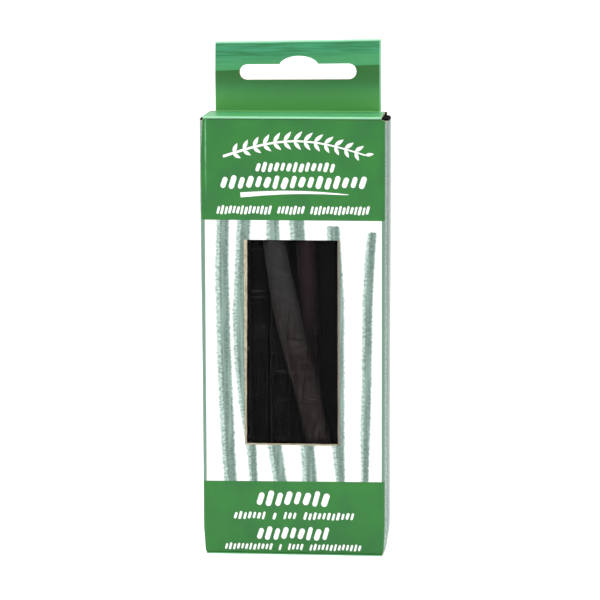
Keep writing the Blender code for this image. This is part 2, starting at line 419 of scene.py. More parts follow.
# %% Greens of the lid and the header
def header_print(tree, place, x, y, z, above_sleeve, colour):
    # painted reflection: above the bend the header is painted paler and bluer, with level streaks
    bend_line = math_step(tree, "MULTIPLY_ADD", x, bend_slope, bend_middle)
    above_bend_reflection = ramp_step(tree, math_step(tree, "SUBTRACT", z, bend_line), -0.1, 0.15)
    streaks = ramp_step(tree, noise_step(tree, place, (0.1, 0.3, 1.9), 3.0), 0.25, 0.75)
    colour = mix_colour(tree, above_bend_reflection, colour, mix_colour(tree, streaks, header_reflection_green, header_reflection_pale_green))

    # painted top light: the lid, which faces up, is paler, as far back as the header's foot
    lid_top_light = product(tree, ramp_step(tree, z, lid_at - 0.4, lid_at - 0.1), ramp_step(tree, y, 7.75, 7.45))
    colour = mix_colour(tree, product(tree, lid_top_light, 0.8), colour, lid_top_light_green)

    # painted shade: the header turns olive under its bend, less and less towards the foot, where the lid lights
    # it
    near_foot = ramp_step(tree, z, bend_middle - 1, lid_at + 2)
    under_bend_shade = product(tree, above_sleeve, ramp_step(tree, y, 5.0, 7.0), opposite(tree, above_bend_reflection),
                    math_step(tree, "MULTIPLY_ADD", near_foot, -0.9, 0.9))
    colour = mix_colour(tree, under_bend_shade, colour, under_bend_shade_olive)
    at_foot = product(tree, ramp_step(tree, z, lid_at + 9, lid_at + 1), ramp_step(tree, y, 6.5, 7.2),
                      above_sleeve, 0.9)
    return mix_colour(tree, at_foot, colour, foot_green)


# %% Painted highlights and rubbed ink along the folds
def highlight_and_wear_print(tree, place, x, y, z, above_sleeve, colour):
    """Fine light lines: painted highlights on the creases and folds, partly ink rubbed off where the board has
    been bent or handled.
    """
    crease_highlight_patches = ramp_step(tree, noise_step(tree, place, (0.9, 0.9, 0.35), 3.0), 0.25, 0.6)
    from_crease = math_step(tree, "ABSOLUTE", math_step(tree, "ADD", x, side_at - 0.75))
    # painted highlight down the front's left crease, broken into patches
    left_crease_highlight = product(tree, ramp_step(tree, from_crease, 0.3, 0.1), opposite(tree, above_sleeve),
                          ramp_step(tree, z, top_band_edge + 3, top_band_edge + 24), crease_highlight_patches, 0.55)
    colour = mix_colour(tree, left_crease_highlight, colour, crease_highlight)

    header_top, header_end = header_high.z / mm + askew_rise, header_high.x / mm
    # painted highlight along the header's top fold, partly ink rubbed off it
    level = math_step(tree, "MULTIPLY_ADD", x, -askew_slope, z)
    fold_highlight_and_wear = ramp_step(tree, level, header_top - 0.7, header_top - 0.3)
    lid_nose = product(tree, ramp_step(tree, y, 0.62 - front_at, 0.3 - front_at),
                       ramp_step(tree, z, lid_at - 0.75, lid_at - 0.35))
    right_end = product(tree, above_sleeve, ramp_step(tree, x, header_end - 0.5, header_end - 0.3),
                        ramp_step(tree, y, 6.0, 7.0))
    foot = product(tree, ramp_step(tree, z, 0.45, 0.2), ramp_step(tree, y, 0.8 - front_at, 0.4 - front_at))
    # painted highlights, partly rubbed ink, on the lid's nose and the base's foot; at the header's right end,
    # its pale cut edge
    for line in (lid_nose, right_end, foot):
        fold_highlight_and_wear = math_step(tree, "MAXIMUM", fold_highlight_and_wear, line)
    return mix_colour(tree, product(tree, fold_highlight_and_wear, 0.7), colour, fold_highlight_and_rub)


# %% The printed board
def printed_boxboard():
    material, tree = new_material("varnished_offset_printed_boxboard")
    place, x, y, z = place_in_mm(tree)
    above_sleeve = ramp_step(tree, z, lid_at - 0.85, lid_at - 0.75)
    colour = sleeve_print(tree, place, x, y, z, above_sleeve)
    colour = header_print(tree, place, x, y, z, above_sleeve, colour)
    colour = highlight_and_wear_print(tree, place, x, y, z, above_sleeve, colour)

    # coated board still shows its fibres: soft bumps 0.4 mm apart, a few hundredths of a mm deep
    fibres = noise_step(tree, place, (2.5, 2.5, 2.5), 3.0)
    warp = noise_step(tree, place, (0.06, 0.06, 0.05), 1.0)
    relief = math_step(tree, "MULTIPLY_ADD", warp, 3.0, product(tree, fibres, 0.25))
    give_surface(tree, {"Base Color": colour, "Roughness": spread_step(tree, fibres, 0.32, 0.46), "IOR": 1.32,
                        "Normal": bump_step(tree, relief, 0.12, 0.3 * mm)})
    return material


# %% [markdown]
# ## Bare board
# The inside of such a carton and its hidden flaps are unprinted: a warm grey-white pulp with short
# darker fibres, quite matt. The cut edge shows the same pulp in layers, a little more yellow, where
# the knife pressed it. Both are made from noise on Object coordinates.

# %% Bare board and cut edges
def bare_board(name, pale, dark, fibre_stretch, shaded_beyond=1000.0, ior=1.45):
    """shaded_beyond is the x, in mm, past which the window's cut edge is greyed with painted shade."""
    material, tree = new_material(name)
    place, x, y, z = place_in_mm(tree)
    fibres = noise_step(tree, place, fibre_stretch, 4.0)
    specks = ramp_step(tree, noise_step(tree, place, (2.2, 2.2, 2.2)), 0.62, 0.72)
    shade = mix_colour(tree, ramp_step(tree, fibres, 0.3, 0.7), pale, dark)
    shade = mix_colour(tree, product(tree, specks, 0.4), shade, dark)
    # painted shade greys the window's right cut edge
    window_edge_shade = product(tree, ramp_step(tree, y, 1.2 - front_at, 0.8 - front_at),
                    ramp_step(tree, z, window_top / mm + 1, window_top / mm),
                    ramp_step(tree, x, shaded_beyond - 0.2, shaded_beyond), 0.8)
    shade = mix_colour(tree, window_edge_shade, shade, linear("6f6a63"))
    give_surface(tree, {"Base Color": shade, "Roughness": 0.85, "IOR": ior,
                        "Normal": bump_step(tree, fibres, 0.35, 0.1 * mm)})
    return material


printed = printed_boxboard()
# near-black inside: charcoal dust, darkened further with the closed carton's painted shade
dust_and_shade_inside = bare_board("charcoal_dusted_pulp_board", linear("0c0b0b"), linear("060606"),
                          (0.3, 0.3, 0.15), ior=1.08)
pulp_inside = bare_board("unprinted_pulp_board", linear("cfcabd"), linear("aaa497"), (0.5, 0.5, 3.0))
cut_edge = bare_board("knife_cut_board_edge", linear("d2c9ae"), linear("978b6c"), (1.5, 6.0, 0.8),
                      shaded_beyond=window_right / mm - 0.8)
board_finishes = [printed, pulp_inside, cut_edge]
sleeve_finishes = [printed, dust_and_shade_inside, cut_edge]
PRINTED, INSIDE, EDGE = 0, 1, 2
print("board finishes:", [material.name for material in board_finishes])

# %% [markdown]
# ## White ink, film and charcoal
# The white marks are opaque ink under the same varnish. The film is polypropylene: nearly invisible,
# with a sharp faint reflection, so it is mostly transparent with a thin glossy skin.

# %% Ink and film
def white_ink():
    material, tree = new_material("opaque_white_ink")
    speckle = ramp_step(tree, noise_step(tree, place_in_mm(tree)[0], (1.8, 1.8, 1.8), 3.0), 0.55, 0.8)
    shade = mix_colour(tree, product(tree, speckle, 0.35), coated_white, linear("d5ecd9"))
    give_surface(tree, {"Base Color": shade, "Roughness": 0.4, "IOR": 1.5})
    return material


def clear_film():
    material, tree = new_material("clear_polypropylene_film")
    ripple = noise_step(tree, place_in_mm(tree)[0], (0.05, 0.05, 0.04), 1.0)
    give_surface(tree, {"Base Color": linear("101010"), "Roughness": 0.12, "IOR": 1.49, "Alpha": 0.05,
                        "Normal": bump_step(tree, ripple, 0.3, 0.5 * mm)})
    return material


# %% [markdown]
# Vine charcoal is a willow or vine twig baked without air. It keeps the twig's shape and fine bark
# lines, turns grey-black to brown-black, and has a soft graphite-like sheen where it was rubbed. Here
# that sheen is painted into the colour: lighter patches, partly dust, and level scratches.
# Fine cracks run across it. The cracks are a fraction of a millimetre apart, drawn every 0.7 mm so
# that they show.

# %% Charcoal
def vine_charcoal(name, upper, lower, dust_and_sheen_tone, lean=0.0):
    """upper and lower are the tones at the window's top and foot; lean turns the bark with the stick."""
    material, tree = new_material(name)
    place, *_, height = place_in_mm(tree)
    turned = add_node(tree, "ShaderNodeVectorRotate", {"Vector": place, "Angle": -math.radians(lean)},
                      rotation_type="Y_AXIS").outputs[0]
    patches = noise_step(tree, turned, (0.12, 0.12, 0.05))
    fade = math_step(tree, "MULTIPLY_ADD", math_step(tree, "SUBTRACT", patches, 0.5), 30.0, height)
    shade = mix_colour(tree, ramp_step(tree, fade, window_top / mm - 10, window_top / mm - 32), upper, lower)
    cracks = noise_step(tree, turned, (0.35, 0.35, 1.6), 3.0)
    bark = noise_step(tree, turned, (1.6, 1.6, 0.09), 3.0)
    # lighter patches: charcoal dust and painted sheen
    dust_and_painted_light = ramp_step(tree, product(tree, cracks, bark), 0.2, 0.36)
    pits = ramp_step(tree, math_step(tree, "MINIMUM", cracks, bark), 0.42, 0.32)
    # painted sheen: light level scratches
    painted_sheen_scratches = ramp_step(tree, noise_step(tree, turned, (0.12, 0.12, 3.0), 1.0), 0.66, 0.72)
    for mark, strength, tone in ((dust_and_painted_light, 0.6, dust_and_sheen_tone), (pits, 0.35, linear("070606")),
                                 (painted_sheen_scratches, 0.35, linear("5c5c5c"))):
        shade = mix_colour(tree, product(tree, mark, strength), shade, tone)
    relief = math_step(tree, "ADD", product(tree, cracks, 0.6), bark)
    give_surface(tree, {"Base Color": shade, "Roughness": spread_step(tree, cracks, 0.5, 0.75), "IOR": 1.08,
                        "Normal": bump_step(tree, relief, 0.55, 0.35 * mm)})
    return material


ink, film = white_ink(), clear_film()
# the baked sticks' tones are darker than bare charcoal: the shade inside the closed carton is painted into them
charcoal = vine_charcoal("baked_vine_charcoal", linear("050506"), linear("070606"), linear("121111"))
# the grey stick is lighter at the top and darker towards the foot
grey_charcoal = vine_charcoal("grey_to_brown_vine_charcoal", linear("313132"), linear("1e1715"),
                              linear("3d3937"), lean=12.3)
brown_charcoal = vine_charcoal("brown_vine_charcoal", linear("2c2025"), linear("130e0d"),
                               linear("33272b"), lean=1.4)
finish_of = {1: grey_charcoal, 8: brown_charcoal}
print("ink, film and three charcoals; special sticks:", sorted(finish_of))

# %% [markdown]
# ## Making pieces
# Every piece starts as a bmesh. One helper turns it into an object at the origin, so that Object
# coordinates mean the same on all of them, gives it its finishes and shades it smooth except at
# sharp folds.

# %% Piece helper
def piece_from(shape, name, finishes, sharp=35):
    mesh = mesh_from(shape, name)
    for finish in finishes:
        mesh.materials.append(finish)
    mesh.shade_smooth()
    mesh.set_sharp_from_angle(angle=math.radians(sharp))
    piece = put_in_scene(name, mesh)
    return piece


def bisect_all(shape, point, normal):
    geometry = shape.verts[:] + shape.edges[:] + shape.faces[:]
    bmesh.ops.bisect_plane(shape, geom=geometry, plane_co=point, plane_no=normal, dist=1e-7)


def smooth_step(value, low, high):
    t = min(max((value - low) / (high - low), 0.0), 1.0)
    return t * t * (3 - 2 * t)


# %% [markdown]
# Folded board is drawn as the path of its outer surface, seen from its end. The path is pushed
# along the fold to make a sheet, then the sheet gets the board's thickness on its inner side. That
# gives three kinds of face, and each takes its own finish: printed outside, bare inside, cut edges.

# %% Folded board helpers
def thicken(shape):
    """Give a sheet the board's thickness, away from its outer side, and sort its faces."""
    outer_faces, outer_verts = set(shape.faces), set(shape.verts)
    bmesh.ops.solidify(shape, geom=shape.faces[:], thickness=board)
    for face in shape.faces:
        if face in outer_faces:
            face.material_index = PRINTED
        elif any(vert in outer_verts for vert in face.verts):
            face.material_index = EDGE
        else:
            face.material_index = INSIDE


def folded_sheet(path, along, low, high, outward, columns=1):
    """Push a path of points along an axis. The first face ends up facing `outward`."""
    shape, along = bmesh.new(), Vector(along)
    start = [shape.verts.new(Vector(point) + along * low) for point in path]
    edges = [shape.edges.new(pair) for pair in zip(start, start[1:])]
    for column in range(columns):
        pushed = bmesh.ops.extrude_edge_only(shape, edges=edges)["geom"]
        bmesh.ops.translate(shape, vec=along * ((high - low) / columns), verts=corners_in(pushed))
        reached = low + (high - low) * (column + 1) / columns
        edges = [item for item in pushed if isinstance(item, bmesh.types.BMEdge)
                 and all(abs(v.co.dot(along) - reached) < 1e-6 for v in item.verts)]
    bmesh.ops.recalc_face_normals(shape, faces=shape.faces)
    start_middle = (Vector(path[0]) + Vector(path[1])) / 2 + along * low
    first = min(shape.faces, key=lambda face: (face.calc_center_median() - start_middle).length)
    if first.normal.dot(Vector(outward)) < 0:
        bmesh.ops.reverse_faces(shape, faces=shape.faces)
    return shape


def die(name, outline, y_low, y_high):
    """A punch for cutting board: an outline of (x, z) points, pushed through in y."""
    shape = bmesh.new()
    face = shape.faces.new([shape.verts.new((x, y_low, z)) for x, z in outline])
    pushed = bmesh.ops.extrude_face_region(shape, geom=[face])["geom"]
    bmesh.ops.translate(shape, vec=(0, y_high - y_low, 0), verts=corners_in(pushed))
    bmesh.ops.recalc_face_normals(shape, faces=shape.faces)
    mesh = mesh_from(shape, name)
    mesh.materials.append(cut_edge)
    return put_in_scene(name, mesh)


def punch_out(piece, punch, operation):
    """Cut a piece with a punch and keep the cut faces' own finish."""
    cut = piece.modifiers.new("die_cut", "BOOLEAN")
    cut.operation, cut.object, cut.solver, cut.material_mode = operation, punch, "EXACT", "TRANSFER"
    bpy.context.view_layer.update()
    cut_mesh = bpy.data.meshes.new_from_object(piece.evaluated_get(bpy.context.evaluated_depsgraph_get()))
    piece.modifiers.clear()
    piece.data = cut_mesh
    bpy.data.objects.remove(punch)


# %% [markdown]
# ## The folded sleeve
# On the real carton the front, sides and back are one sheet, creased at four corners and glued. It
# could be four plates, but then the corners would show seams. Instead one box shape loses its ends,
# gets round corners, is cut at the window and given the board's thickness inwards. The sides then
# belly out a little, as creased board does, and the window's cut edges slope so that their pulp shows.

# %% Belly of the sides
def belly(point):
    """How far a full carton's side stands out from flat at this place. It is largest near the top."""
    across = max(0.0, 1 - (point.y / back_y) ** 4)
    if point.x < 0:
        across = 0.3 + 0.7 * across
        reach = 1.15 * mm + 0.35 * mm * smooth_step(point.z, 0.3 * top, 0.85 * top)
        reach *= 1 - 0.75 * smooth_step(point.z, 0.9 * top, top) * (across < 0.5)
    else:
        reach = 1.4 * mm + 0.1 * mm * smooth_step(point.z, 0.3 * top, 0.9 * top)
    reach *= smooth_step(point.z, -3 * mm, 9 * mm)
    near_side = smooth_step(abs(point.x), half_width - 1.5 * mm, half_width - 0.3 * mm)
    return math.copysign(reach * across * near_side, point.x)


# %% Build the sleeve
corner_radius = 0.7 * mm
nose_radius = 0.4 * mm                  # of the covers' round front edges
nose_room, dust_fold = 0.05 * mm, 0.5 * mm
front_bottom, front_top = front_low.z + nose_room, front_high.z - nose_room
side_bottom, side_top = front_low.z + dust_fold, front_high.z - dust_fold     # the dust flaps start here
back_foot = 0.9 * mm                    # below this the back turns into the base


def slope_window_edge(point):
    """At the window's cut edges the board's inner skin reaches further into the hole."""
    on_inner_skin = front_y + 0.5 * board < point.y < front_y + 1.5 * board
    if not (on_inner_skin and window_bottom - 0.01 * mm < point.z < window_top + 0.01 * mm):
        return
    near = 0.05 * mm
    ragged = 0.12 * mm * noise.noise(Vector((0, 0, point.z / (3 * mm))))
    if abs(point.x - window_left) < near:
        point.x += 0.5 * mm + 0.4 * mm * smooth_step(point.z, window_bottom, window_top) + ragged
    elif abs(point.x - window_right) < near:
        point.x -= 0.7 * mm + ragged
    if abs(point.z - window_bottom) < near:
        point.z += 0.4 * mm


def build_sleeve():
    shape = bmesh.new()
    size = Matrix.Diagonal((2 * half_width, back_y - front_y, top, 1))
    bmesh.ops.create_cube(shape, size=1.0, matrix=Matrix.Translation((0, 0, top / 2)) @ size)
    ends = [face for face in shape.faces if abs(face.normal.z) > 0.5]
    bmesh.ops.delete(shape, geom=ends, context="FACES_ONLY")
    upright = [edge for edge in shape.edges if abs(edge.verts[0].co.z - edge.verts[1].co.z) > top / 2]
    bmesh.ops.bevel(shape, geom=upright, offset=corner_radius, offset_type="OFFSET", segments=5,
                    profile=0.5, affect="EDGES", material=-1)
    levels = [front_bottom, front_top, side_bottom, side_top, back_foot, window_bottom, window_top]
    for height in rows_between(0, top, 52)[1:-1] + levels:
        bisect_all(shape, (0, 0, height), (0, 0, 1))
    for across in (window_left, window_right, -23 * mm, 23 * mm):
        bisect_all(shape, (across, 0, 0), (1, 0, 0))
    for depth in rows_between(-7 * mm, 7 * mm, 7):
        bisect_all(shape, (0, depth, 0), (0, 1, 0))

    def not_board(face):
        middle = face.calc_center_median()
        if middle.y > back_y - 0.3 * mm:
            past_end = middle.z < back_foot
        elif middle.y < front_y + corner_radius:
            past_end = not front_bottom < middle.z < front_top
        else:
            past_end = not side_bottom < middle.z < side_top
        in_window = (middle.y < front_y + 0.1 * mm and window_left < middle.x < window_right
                     and window_bottom < middle.z < window_top)
        return past_end or in_window

    bmesh.ops.delete(shape, geom=[face for face in shape.faces if not_board(face)], context="FACES")
    bmesh.ops.recalc_face_normals(shape, faces=shape.faces)
    front_face = next(f for f in shape.faces if f.calc_center_median().y < front_y + 0.1 * mm)
    if front_face.normal.y > 0:
        bmesh.ops.reverse_faces(shape, faces=shape.faces)
    thicken(shape)

    for vert in shape.verts:
        slope_window_edge(vert.co)
        vert.co.x += belly(vert.co)
    return shape


sleeve = piece_from(build_sleeve(), "folded_sleeve", sleeve_finishes)
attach(sleeve, "carton")
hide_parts("front_panel", "back_panel", "left_side_panel", "right_side_panel")
print("sleeve faces:", len(sleeve.data.polygons))

# %% [markdown]
# ## The header
# The header is the back panel's own board, folded down at its top edge and glued to itself, with a
# hook slot punched through both plies. A hairpin path gives the two plies and the round top fold.
# A punch trims its corners and another cuts the slot, and the punches carry the cut-edge finish, so
# the pale core shows in the slot. Handling left a soft slanting bend across the middle, which is
# a change in lean at a line that climbs to the right.

# %% Build the header
slot_width, slot_height, slot_rise = 34.2 * mm, 4.5 * mm, 9.25 * mm
arch_width, arch_height, arch_middle = 11.2 * mm, 2.3 * mm, 0.25 * mm
header_half, header_corner = header_high.x, 0.35 * mm
lean_back, lean_forward = math.tan(math.radians(5.6)), 0.4 * mm      # above the bend, and at the bend


def header_lean(x, z):
    """How far back the header stands at this place: forward up to the bend line, back above it."""
    height = z - top
    bend = bend_middle * mm - top + bend_slope * x
    past, softness = height - bend, 0.5 * mm
    if past < softness:                     # inside the soft bend, or below it
        past = max(past + softness, 0) ** 2 / (4 * softness)
    foot = 0.5 * mm                         # up to here the header stands still on the back panel
    forward = min(max(height - foot, 0), bend - foot) / (bend - foot)
    return past * lean_back - lean_forward * forward


def build_header():
    fold_radius = (header_high.y - ply_low.y) / 2
    fold_y, fold_z = header_high.y - fold_radius, header_high.z - fold_radius
    rear = [(0, header_high.y, z) for z in rows_between(top, fold_z, 30)]
    fold = [(0, y, z) for y, z in arc_points(fold_y, fold_z, fold_radius, 0, 180, 8)][1:-1]
    front = [(0, ply_low.y, z) for z in rows_between(fold_z, top + 0.5 * mm, 30)]
    shape = folded_sheet(rear + fold + front, (1, 0, 0), -header_half, header_half, (0, 1, 0), columns=12)
    thicken(shape)
    header = piece_from(shape, "folded_header", board_finishes, sharp=40)

    edge_x, corner_z = header_half - 0.01 * mm, header_high.z + 0.01 * mm - header_corner
    trim = ([(-edge_x, top - mm), (edge_x, top - mm)]
            + arc_points(edge_x - header_corner, corner_z, header_corner, 0, 90, 6)
            + arc_points(header_corner - edge_x, corner_z, header_corner, 90, 180, 6))
    radius = slot_height / 2
    low, end_x = top + slot_rise, slot_width / 2 - radius
    arch = [(arch_middle + arch_width / 2 * math.cos(a),
             low + slot_height + arch_height * math.sin(a) ** 1.3) for a in map(math.radians, range(0, 181, 9))]
    slot = (arc_points(end_x, low + radius, radius, -90, 90, 10) + arch
            + arc_points(-end_x, low + radius, radius, 90, 270, 10))
    through = back_y - 4 * mm, back_y + 2 * mm
    punch_out(header, die("corner_trim", trim, *through), "INTERSECT")
    punch_out(header, die("hook_slot_punch", slot, *through), "DIFFERENCE")
    for vert in header.data.vertices:
        vert.co.y += header_lean(vert.co.x, vert.co.z)
        askew = askew_rise * mm + askew_slope * vert.co.x      # the blank was cut a little askew
        vert.co.z += askew * (vert.co.z - top) / tab_height
    header.data.shade_smooth()
    header.data.set_sharp_from_angle(angle=math.radians(40))
    return header


header = build_header()
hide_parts("hang_tab_rear_ply", "hang_tab_front_ply")
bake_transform(header)
print("header faces:", len(header.data.polygons), "finishes:", [m.name for m in header.data.materials])

# %% [markdown]
# ## Lid and base
# Each end is closed by a cover whose front edge rolls over the front panel and tucks in behind it.
# The path goes forward along the cover, round a nose 1 mm thick, back under it and down inside. The
# base is the same path turned upside down. The roll is what catches the light along the top. The
# tuck is narrower than the cover and has round corners, so the rows near its end are drawn in.

# %% Build the two covers
def build_cover(name, nodes, back_end, outer_z, inward, tuck_tip_z):
    """inward is the z direction into the carton: -1 for the lid, 1 for the base."""
    nose_y, nose_z = front_y + nose_radius + 0.03 * mm, outer_z + inward * nose_radius
    tuck_y, corner = tuck_low.y, 3 * mm
    neck_start, neck_end = 0.6 * mm, 1.2 * mm       # between these depths the cover narrows to its tuck
    panel = [(y, outer_z) for y in rows_between(back_end, nose_y, 8)][:-1]
    nose = [(y, nose_z - inward * rise) for y, rise in arc_points(nose_y, 0, nose_radius, 90, 240, 10)]
    roll = [(tuck_y - 0.06 * mm, nose_z + inward * 0.72 * mm),
            (tuck_y - 0.01 * mm, nose_z + inward * 0.92 * mm)]
    tuck = [(tuck_y, z) for z in rows_between(nose_z + inward * neck_end, tuck_tip_z - inward * corner, 4)]
    tuck += [(tuck_y, tuck_tip_z - inward * corner * (1 - math.sin(math.radians(a))))
             for a in range(15, 91, 15)]
    cover_half, tuck_half = half_width - 0.25 * mm, tuck_high.x
    path = [(0, y, z) for y, z in panel + nose + roll + tuck]
    shape = folded_sheet(path, (1, 0, 0), -cover_half, cover_half, (0, 0, -inward), columns=14)
    thicken(shape)
    for vert in shape.verts:
        point = vert.co
        depth = (point.z - nose_z) * inward
        on_tuck = point.y > front_y + 0.55 * mm and depth > neck_start
        if on_tuck:
            from_tip = abs(tuck_tip_z - point.z)
            inset = corner - math.sqrt(max(0, corner ** 2 - max(0, corner - from_tip) ** 2))
            limit = cover_half - (cover_half - tuck_half) * smooth_step(depth, neck_start, neck_end)
            point.x = math.copysign(min(abs(point.x) * limit / cover_half, limit - inset), point.x)
        if inward < 0:
            point.x -= 0.3 * mm             # the lid was folded a little to the left
            if not on_tuck:                 # and its panel is slightly domed
                dome = 0.12 * mm * (1 - (point.x / half_width) ** 2)
                dome *= smooth_step(point.y, front_y, front_y + 6 * mm)
                point.z += dome * (1 - smooth_step(point.y, back_end - 3 * mm, back_end))
    cover = piece_from(shape, name, board_finishes)
    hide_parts(*nodes)
    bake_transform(cover)
    print(name, "faces:", len(cover.data.polygons))


build_cover("rolled_lid", ["lid_panel", "lid_tuck_flap"],
            lid_high.y, lid_high.z, -1, tuck_low.z)
build_cover("rolled_base", ["bottom_panel", "bottom_tuck_flap"],
            base_high.y, base_low.z, 1, base_tuck_high.z)

# %% [markdown]
# ## The creases the covers turn on
# A cover and the board it grows from meet in a crease that has to bend.

# %% Build the creases
lid_turn, base_turn = 0.3 * mm, 0.6 * mm        # the creases' radii
lid_path = [(ply_low.y, top + 0.55 * mm), (ply_low.y, top + 0.4 * mm),
            *arc_points(ply_low.y - lid_turn, top + lid_turn, lid_turn, -15, -90, 5),
            (lid_high.y - 0.05 * mm, top)]
shape = folded_sheet([(0, y, z) for y, z in lid_path], (1, 0, 0), -header_half, header_half,
                     (0, -1, 0), columns=2)
thicken(shape)
lid_crease = piece_from(shape, "lid_crease", board_finishes, sharp=60)
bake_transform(lid_crease)

base_path = [(back_y, back_foot), (back_y, 0.65 * mm),
             *arc_points(back_y - base_turn, base_turn, base_turn, 0, -90, 6), (base_high.y, 0)]
shape = folded_sheet([(0, y, z) for y, z in base_path], (1, 0, 0), base_turn - half_width,
                     half_width - base_turn, (0, 1, 0), columns=2)
thicken(shape)
base_crease = piece_from(shape, "base_crease", board_finishes, sharp=60)
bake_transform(base_crease)
print("crease faces:", len(lid_crease.data.polygons), len(base_crease.data.polygons))

# %% [markdown]
# ## Dust flaps
# Four small flaps close the sides under the covers. They fold from the side panels' ends, so their
# root is a quarter turn that starts at the side's own skin and follows its belly. They are bare board.

# %% Build the dust flaps
def build_dust_flap(node, inward, side):
    low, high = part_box(node)
    root_x, tip_x = half_width, min(abs(low.x), abs(high.x))
    fold_radius, fold_reach = 0.5 * mm, 1.2 * mm
    face_z = high.z if inward < 0 else low.z
    fold = [(side * x, 0, face_z + inward * (fold_radius - rise))
            for x, rise in arc_points(root_x - fold_radius, 0, fold_radius, 0, 90, 6)]
    flap = [(side * x, 0, face_z) for x in rows_between(root_x - fold_radius, tip_x, 6)][1:]
    shape = folded_sheet(fold + flap, (0, 1, 0), low.y, high.y, (side, 0, 0), columns=6)
    thicken(shape)
    middle = (low.y + high.y) / 2
    for vert in shape.verts:                # the flap narrows towards its tip
        share = (root_x - abs(vert.co.x)) / (root_x - tip_x)
        vert.co.y = middle + (vert.co.y - middle) * (1 - 0.45 * share) - 0.75 * mm * share
        vert.co.x += belly(vert.co)
    # the fold's faces take the near-black inside finish: dust, and painted shade where the fold closes
    dust_and_painted_light = 3                                # the fold is where dust gathers
    for face in shape.faces:
        if abs(face.calc_center_median().x) > half_width - fold_reach:
            face.material_index = dust_and_painted_light
    piece = piece_from(shape, node + "_board", [pulp_inside, pulp_inside, cut_edge, dust_and_shade_inside])
    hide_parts(node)
    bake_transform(piece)


for side, side_name in ((-1, "left"), (1, "right")):
    build_dust_flap("top_dust_flap_" + side_name, -1, side)
    build_dust_flap("bottom_dust_flap_" + side_name, 1, side)

# the glue flap and the film are flat in real life too, so the model's own shapes stay
for node, finish in (("glue_flap", dust_and_shade_inside), ("window_film", film)):
    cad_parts[node].data.materials.clear()
    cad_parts[node].data.materials.append(finish)
print("dust flaps, glue flap and film are ready")

# %% [markdown]
# ## The charcoal
# Each stick is a baked twig. It could be a plain taper, but real ones wander, are a little oval, carry
# knots where buds grew, and have broken ends. So a fine taper is made on the model stick's own line,
# and every point moves by a few tenths of a millimetre: slow noise for the wander, bumps for the
# knots, ridges round the twig for the bark, and quick noise at the ends.

# %% Build the sticks
bow_of = {1: (-1.0 * mm, 0.2, 69 * mm)}     # how far a stick bows sideways, how much it swells, and where
bow_reach = 21 * mm


def around_noise(around, tightness, along):
    """Noise on a circle, so that it closes on itself round the twig."""
    return noise.noise(Vector((tightness * math.cos(around), tightness * math.sin(around), along)))


def roughen(shape, length, seed, knots):
    """Turn a smooth taper into a twig. Every step moves a point by tenths of a millimetre at most."""
    for vert in shape.verts:
        x, y, z = vert.co
        around, radius = math.atan2(y, x), math.hypot(x, y)
        if radius < 0.01 * mm:
            continue
        ridges = 0.05 * mm * around_noise(around, 3.2, seed + z / (30 * mm))
        oval = 0.04 * radius * math.cos(2 * around + seed)
        slow = 0.12 * mm * noise.noise(Vector((seed, 2.0 * math.cos(around), z / (9 * mm))))
        knot = sum(0.22 * mm * math.exp(-((z - place) / (1.3 * mm)) ** 2)
                   * (0.6 + 0.4 * math.cos(around - turn)) for place, turn in knots)
        radius = radius - 0.14 * mm + ridges + oval + slow + knot
        from_end = length / 2 - abs(z)
        radius -= 0.3 * mm * (1 - smooth_step(from_end, 0, 0.9 * mm))
        wander = Vector((noise.noise(Vector((seed, 0, z / (28 * mm)))),
                         noise.noise(Vector((0, seed, z / (28 * mm)))), 0))
        vert.co = Vector((radius * math.cos(around), radius * math.sin(around), z)) + 0.22 * mm * wander
        if from_end < 0.1 * mm:
            vert.co.z -= math.copysign(0.5 * mm * abs(around_noise(around, 1.5, seed)), z)


def build_stick(number, finish):
    node = "stick_%02d" % number
    points = [vert.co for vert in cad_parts[node].data.vertices]
    middle = sum(point.z for point in points) / len(points)
    ends = [[p for p in points if p.z < middle], [p for p in points if p.z >= middle]]
    foot, head = (sum(ring, Vector()) / len(ring) for ring in ends)
    foot_radius, head_radius = (max((p - centre).length for p in ring)
                                for ring, centre in zip(ends, (foot, head)))
    length = (head - foot).length

    shape = bmesh.new()
    bmesh.ops.create_cone(shape, cap_ends=True, segments=28, radius1=foot_radius, radius2=head_radius,
                          depth=length)
    for height in rows_between(-length / 2, length / 2, 84)[1:-1]:
        bisect_all(shape, (0, 0, height), (0, 0, 1))
    seed = 17.3 * number
    noise.seed_set(number)
    knots = [(length * (0.3 * i - 0.42 + 0.1 * noise.noise(Vector((seed, i, 0)))), 6.28 * noise.random())
             for i in range(4)]
    roughen(shape, length, seed, knots)
    turn = (head - foot).to_track_quat("Z", "Y").to_matrix().to_4x4()
    shape.transform(Matrix.Translation((foot + head) / 2) @ turn)
    if number in bow_of:
        bow, swell, at_height = bow_of[number]
        for vert in shape.verts:
            along = (vert.co.z - foot.z) / (head.z - foot.z)
            centre_x = foot.x + along * (head.x - foot.x)
            reach = math.exp(-((vert.co.z - at_height) / bow_reach) ** 2)
            vert.co.x += bow * reach + (vert.co.x - centre_x) * swell * reach
    stick = piece_from(shape, "charcoal_%02d" % number, [finish], sharp=50)
    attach(stick, "stick_%02d_body" % number)
    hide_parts(node)
    return len(stick.data.polygons)


stick_faces = [build_stick(number, finish_of.get(number, charcoal)) for number in range(1, 13)]
print("sticks:", len(stick_faces), "faces each:", stick_faces[0])

# %% [markdown]
# ## White print
# The pack's lettering and badge belong to its maker. In their place are marks that say nothing: a
# willow sprig, which is what drawing charcoal is baked from, and rows of short hatched strokes, grouped
# the way words are. The ink is modelled as a skin 0.03 mm thick, which stays crisp at any zoom. A
# brush sweep underlines the largest row.

# %% Ink helpers
ink_rise = 0.03 * mm


